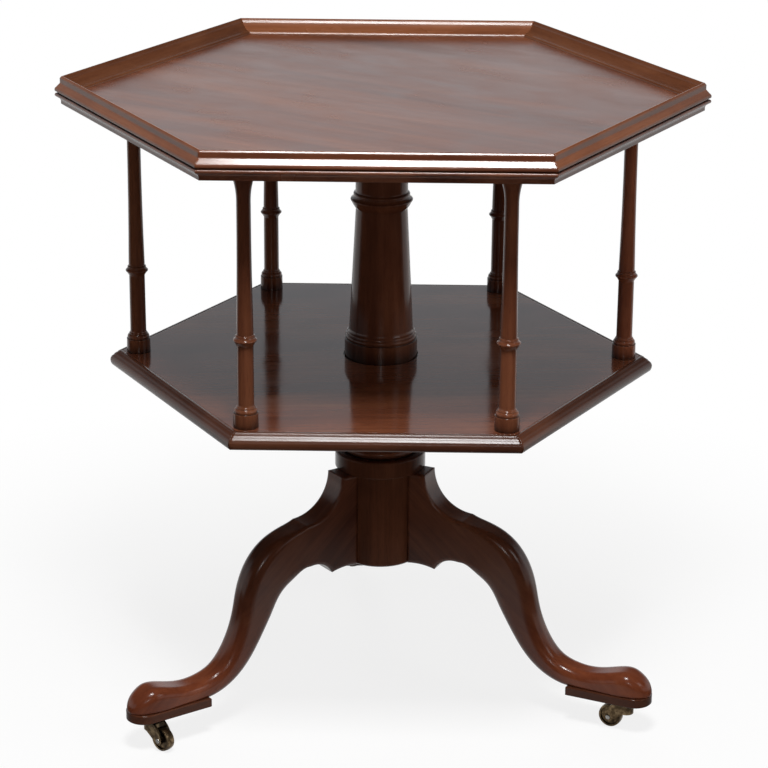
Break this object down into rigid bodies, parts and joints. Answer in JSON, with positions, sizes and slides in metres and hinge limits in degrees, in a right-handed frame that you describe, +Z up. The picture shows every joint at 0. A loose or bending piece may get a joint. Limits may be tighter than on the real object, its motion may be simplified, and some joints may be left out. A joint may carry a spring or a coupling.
{
  "type": "revolving serving table",
  "caption": "Hexagonal two-tier revolving serving table: galleried top and shelf joined by turned spindles, spinning on a tripod pillar with cabriole legs and brass castors.",
  "frame": {"origin": "on the pillar's axis at floor level, under the wheels", "axes": "+Z up along the pillar, X through two opposite corners of the top, Y square to a side"},
  "size_m": [0.7436, 0.6715, 0.745],
  "materials": {
    "mahogany": "french polish",
    "brass": "aged",
    "steel": "dull"
  },
  "bodies": {
    "base": {"column": "mahogany", "hub_block": "mahogany", "pivot_plate": "steel", "pivot_screws": "steel", "thrust_washer": "steel", "retaining_washer": "steel", "retaining_nut": "steel", "leg_rear": "mahogany", "foot_pad_rear": "mahogany", "pad_screws_rear": "steel", "castor_plate_rear": "brass", "castor_screws_rear": "steel", "leg_left": "mahogany", "foot_pad_left": "mahogany", "pad_screws_left": "steel", "castor_plate_left": "brass", "castor_screws_left": "steel", "leg_right": "mahogany", "foot_pad_right": "mahogany", "pad_screws_right": "steel", "castor_plate_right": "brass", "castor_screws_right": "steel"},
    "carousel": {"top_board": "mahogany", "shelf_board": "mahogany", "bearing_block": "mahogany", "block_screws": "steel", "pivot_bush": "brass", "gallery_rail_1": "mahogany", "gallery_rail_2": "mahogany", "gallery_rail_3": "mahogany", "gallery_rail_4": "mahogany", "gallery_rail_5": "mahogany", "gallery_rail_6": "mahogany", "spindle_1": "mahogany", "spindle_2": "mahogany", "spindle_3": "mahogany", "spindle_4": "mahogany", "spindle_5": "mahogany", "spindle_6": "mahogany", "shelf_lipping_1": "mahogany", "shelf_lipping_2": "mahogany", "shelf_lipping_3": "mahogany", "shelf_lipping_4": "mahogany", "shelf_lipping_5": "mahogany", "shelf_lipping_6": "mahogany"},
    "castor_rear": {"castor_horn_rear": "brass", "castor_axle_rear": "steel"},
    "wheel_rear": {"castor_wheel_rear": "brass"},
    "castor_left": {"castor_horn_left": "brass", "castor_axle_left": "steel"},
    "wheel_left": {"castor_wheel_left": "brass"},
    "castor_right": {"castor_horn_right": "brass", "castor_axle_right": "steel"},
    "wheel_right": {"castor_wheel_right": "brass"}
  },
  "joints": [
    {"name": "carousel_turn", "type": "hinge", "parent": "base", "child": "carousel", "pos_m": [0, 0, 0.6975], "axis": [0, 0, 1], "continuous": true},
    {"name": "castor_swivel_rear", "type": "hinge", "parent": "base", "child": "castor_rear", "pos_m": [-0.03345, 0.31825, 0.0336], "axis": [0, 0, 1], "continuous": true},
    {"name": "castor_roll_rear", "type": "hinge", "parent": "castor_rear", "child": "wheel_rear", "pos_m": [-0.04178, 0.33532, 0.014], "axis": [-0.8988, -0.4384, 0], "continuous": true},
    {"name": "castor_swivel_left", "type": "hinge", "parent": "base", "child": "castor_left", "pos_m": [-0.25888, -0.18809, 0.0336], "axis": [0, 0, 1], "continuous": true},
    {"name": "castor_roll_left", "type": "hinge", "parent": "castor_left", "child": "wheel_left", "pos_m": [-0.24455, -0.20056, 0.014], "axis": [0.6561, 0.7547, 0], "continuous": true},
    {"name": "castor_swivel_right", "type": "hinge", "parent": "base", "child": "castor_right", "pos_m": [0.29234, -0.13016, 0.0336], "axis": [0, 0, 1], "continuous": true},
    {"name": "castor_roll_right", "type": "hinge", "parent": "castor_right", "child": "wheel_right", "pos_m": [0.27541, -0.12153, 0.014], "axis": [-0.454, -0.891, 0], "continuous": true}
  ]
}
